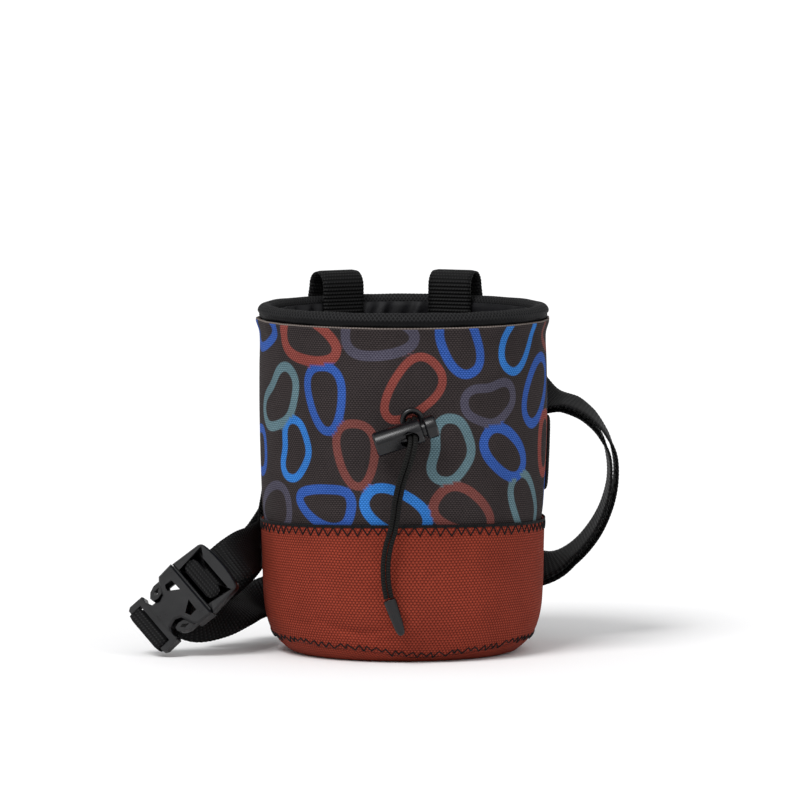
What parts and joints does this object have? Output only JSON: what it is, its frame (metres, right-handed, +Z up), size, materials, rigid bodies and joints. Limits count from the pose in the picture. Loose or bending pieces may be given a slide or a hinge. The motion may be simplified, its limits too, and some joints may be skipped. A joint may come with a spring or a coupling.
{
  "type": "climbing chalk bag",
  "caption": "Cylindrical cloth chalk bag with bound rim, drawcord lock, webbing belt loops and a buckled waist belt.",
  "frame": {"origin": "centre of the flat base, on the surface that the bag stands on", "axes": "+Z up through the mouth, -Y the front with the drawcord, +X to the right seen from the front"},
  "size_m": [0.2052, 0.1381, 0.1538],
  "materials": {
    "panel_fabric": "charcoal canvas weave with a printed pattern of coloured rings",
    "boot_fabric": "rust red heavy plain weave",
    "binding": "black braided binding",
    "lining_nylon": "smooth black nylon",
    "webbing": "black ribbed webbing",
    "elastic": "black woven elastic",
    "black_plastic": "moulded black plastic, satin",
    "cord": "black braided cord"
  },
  "bodies": {
    "root": {"upper_panel": "panel_fabric", "lower_boot": "boot_fabric", "base_panel": "boot_fabric", "rim_binding": "binding", "lining_floor": "lining_nylon", "lining_turn": "lining_nylon", "lining_mouth": "lining_nylon", "lining": "lining_nylon", "belt_loop_left": "webbing", "belt_loop_right": "webbing", "brush_loop": "elastic", "waist_belt": "webbing", "eyelet": "black_plastic", "drawcord_left": "cord", "drawcord_right": "cord", "cord_end": "black_plastic", "cord_lock_barrel": "black_plastic", "buckle_socket": "black_plastic", "buckle_prongs": "black_plastic"},
    "plunger": {"cord_lock_plunger": "black_plastic"}
  },
  "joints": [
    {"name": "plunger_slide", "type": "slide", "parent": "root", "child": "plunger", "axis": [-0.9511, 0, -0.309], "range_m": [0, 0.0012], "stiffness_N_per_m": 200, "springref_m": -0.001}
  ]
}
